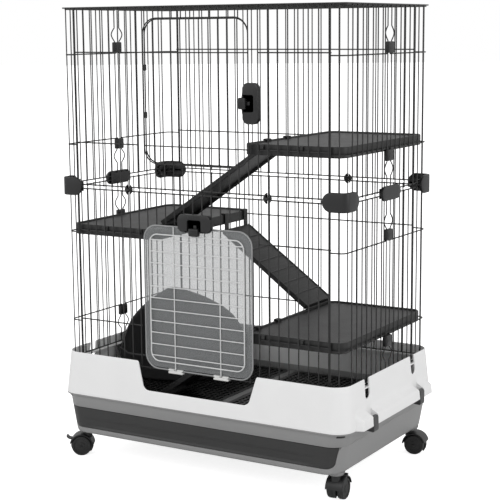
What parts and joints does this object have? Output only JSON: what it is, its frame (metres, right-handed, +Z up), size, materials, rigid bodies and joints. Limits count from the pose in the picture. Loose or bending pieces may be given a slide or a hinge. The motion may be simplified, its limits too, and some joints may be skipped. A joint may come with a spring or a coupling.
{
  "type": "ferret cage",
  "caption": "Tall wire cage in two stacked sections on a moulded base with a pull-out drawer, shelves, ramps, two latched doors and swivel casters.",
  "frame": {"origin": "on the floor, under the middle of the cage", "axes": "+X to the right along the front, +Y from the front to the back, +Z up"},
  "size_m": [0.835, 0.498, 1.1125],
  "materials": {
    "black_wire": "satin powder coat",
    "light_wire": "satin powder coat",
    "black_plastic": "satin moulded plastic",
    "shelf_plastic": "fine-textured moulded plastic",
    "white_plastic": "satin moulded plastic",
    "grey_plastic": "satin moulded plastic",
    "drawer_plastic": "satin moulded plastic",
    "clasp_plastic": "satin moulded plastic",
    "pan_plastic": "satin moulded plastic",
    "clip_plastic": "satin moulded plastic",
    "clear_sheet": "clear smooth sheet"
  },
  "bodies": {
    "cage": {"base_pan": "grey_plastic", "skirt": "white_plastic", "floor_grate_left": "black_plastic", "floor_grate_right": "black_plastic", "top_panel": "black_wire", "shelf_left": "shelf_plastic", "shelf_top_right": "shelf_plastic", "shelf_lower_right": "shelf_plastic", "ramp_upper": "shelf_plastic", "ramp_middle": "shelf_plastic", "ramp_lower": "shelf_plastic", "litter_pan": "pan_plastic", "side_clip_left": "black_plastic", "side_clip_right": "black_plastic", "lower_front_panel": "black_wire", "lower_back_panel": "black_wire", "lower_corner_front_left": "black_wire", "lower_corner_front_right": "black_wire", "lower_corner_back_left": "black_wire", "lower_corner_back_right": "black_wire", "upper_front_panel": "black_wire", "upper_back_panel": "black_wire", "upper_corner_front_left": "black_wire", "upper_corner_front_right": "black_wire", "upper_corner_back_left": "black_wire", "upper_corner_back_right": "black_wire", "corner_clip_front_left": "black_plastic", "corner_clip_front_right": "black_plastic", "corner_clip_back_left": "black_plastic", "corner_clip_back_right": "black_plastic", "seam_sleeve_left_lower_top": "black_plastic", "seam_sleeve_left_lower_bottom": "black_plastic", "seam_sleeve_left_upper_top": "black_plastic", "seam_sleeve_left_upper_bottom": "black_plastic", "seam_sleeve_right_lower_top": "black_plastic", "seam_sleeve_right_lower_bottom": "black_plastic", "seam_sleeve_right_upper_top": "black_plastic", "seam_sleeve_right_upper_bottom": "black_plastic"},
    "upper_door": {"upper_door": "black_wire", "upper_latch_case": "clasp_plastic"},
    "upper_latch": {"upper_latch_slider": "clasp_plastic"},
    "lower_door": {"lower_door": "light_wire", "lower_door_sheet": "clear_sheet", "lower_door_hinge_left": "clip_plastic", "lower_door_hinge_right": "clip_plastic", "lower_latch_case": "clasp_plastic"},
    "lower_latch": {"lower_latch_slider": "clasp_plastic"},
    "drawer": {"drawer_tray": "drawer_plastic"},
    "caster_front_left": {"caster_body_front_left": "black_plastic"},
    "wheels_front_left": {"caster_wheels_front_left": "black_plastic"},
    "clasp_front_left": {"skirt_clasp_front_left": "clasp_plastic"},
    "caster_front_right": {"caster_body_front_right": "black_plastic"},
    "wheels_front_right": {"caster_wheels_front_right": "black_plastic"},
    "clasp_front_right": {"skirt_clasp_front_right": "clasp_plastic"},
    "caster_back_left": {"caster_body_back_left": "black_plastic"},
    "wheels_back_left": {"caster_wheels_back_left": "black_plastic"},
    "clasp_back_left": {"skirt_clasp_back_left": "clasp_plastic"},
    "caster_back_right": {"caster_body_back_right": "black_plastic"},
    "wheels_back_right": {"caster_wheels_back_right": "black_plastic"},
    "clasp_back_right": {"skirt_clasp_back_right": "clasp_plastic"}
  },
  "joints": [
    {"name": "upper_door_hinge", "type": "hinge", "parent": "cage", "child": "upper_door", "pos_m": [-0.1397, -0.223, 0.916], "axis": [0, 0, -1], "range_deg": [0, 115]},
    {"name": "upper_latch_slide", "type": "slide", "parent": "upper_door", "child": "upper_latch", "axis": [1, 0, 0], "range_m": [0, 0.0095]},
    {"name": "lower_door_hinge", "type": "hinge", "parent": "cage", "child": "lower_door", "pos_m": [0, -0.223, 0.252], "axis": [-1, 0, 0], "range_deg": [-130, 0]},
    {"name": "lower_latch_slide", "type": "slide", "parent": "lower_door", "child": "lower_latch", "axis": [0, 0, 1], "range_m": [0, 0.0095]},
    {"name": "drawer_slide", "type": "slide", "parent": "cage", "child": "drawer", "axis": [0, -1, 0], "range_m": [0, 0.4]},
    {"name": "swivel_front_left", "type": "hinge", "parent": "cage", "child": "caster_front_left", "pos_m": [-0.352, -0.204, 0.055], "axis": [0, 0, 1], "continuous": true},
    {"name": "roll_front_left", "type": "hinge", "parent": "caster_front_left", "child": "wheels_front_left", "pos_m": [-0.36412, -0.211, 0.025], "axis": [-0.5, 0.866, 0], "continuous": true},
    {"name": "clasp_hinge_front_left", "type": "hinge", "parent": "cage", "child": "clasp_front_left", "pos_m": [-0.4115, -0.13, 0.181], "axis": [0, 1, 0], "range_deg": [0, 70]},
    {"name": "swivel_front_right", "type": "hinge", "parent": "cage", "child": "caster_front_right", "pos_m": [0.352, -0.204, 0.055], "axis": [0, 0, 1], "continuous": true},
    {"name": "roll_front_right", "type": "hinge", "parent": "caster_front_right", "child": "wheels_front_right", "pos_m": [0.35078, -0.19005, 0.025], "axis": [0.9962, 0.0872, 0], "continuous": true},
    {"name": "clasp_hinge_front_right", "type": "hinge", "parent": "cage", "child": "clasp_front_right", "pos_m": [0.4115, -0.13, 0.181], "axis": [0, -1, 0], "range_deg": [0, 70]},
    {"name": "swivel_back_left", "type": "hinge", "parent": "cage", "child": "caster_back_left", "pos_m": [-0.352, 0.204, 0.055], "axis": [0, 0, 1], "continuous": true},
    {"name": "roll_back_left", "type": "hinge", "parent": "caster_back_left", "child": "wheels_back_left", "pos_m": [-0.34397, 0.19253, 0.025], "axis": [-0.8192, -0.5736, 0], "continuous": true},
    {"name": "clasp_hinge_back_left", "type": "hinge", "parent": "cage", "child": "clasp_back_left", "pos_m": [-0.4115, 0.13, 0.181], "axis": [0, 1, 0], "range_deg": [0, 70]},
    {"name": "swivel_back_right", "type": "hinge", "parent": "cage", "child": "caster_back_right", "pos_m": [0.352, 0.204, 0.055], "axis": [0, 0, 1], "continuous": true},
    {"name": "roll_back_right", "type": "hinge", "parent": "caster_back_right", "child": "wheels_back_right", "pos_m": [0.36579, 0.20643, 0.025], "axis": [0.1736, -0.9848, 0], "continuous": true},
    {"name": "clasp_hinge_back_right", "type": "hinge", "parent": "cage", "child": "clasp_back_right", "pos_m": [0.4115, 0.13, 0.181], "axis": [0, -1, 0], "range_deg": [0, 70]}
  ]
}
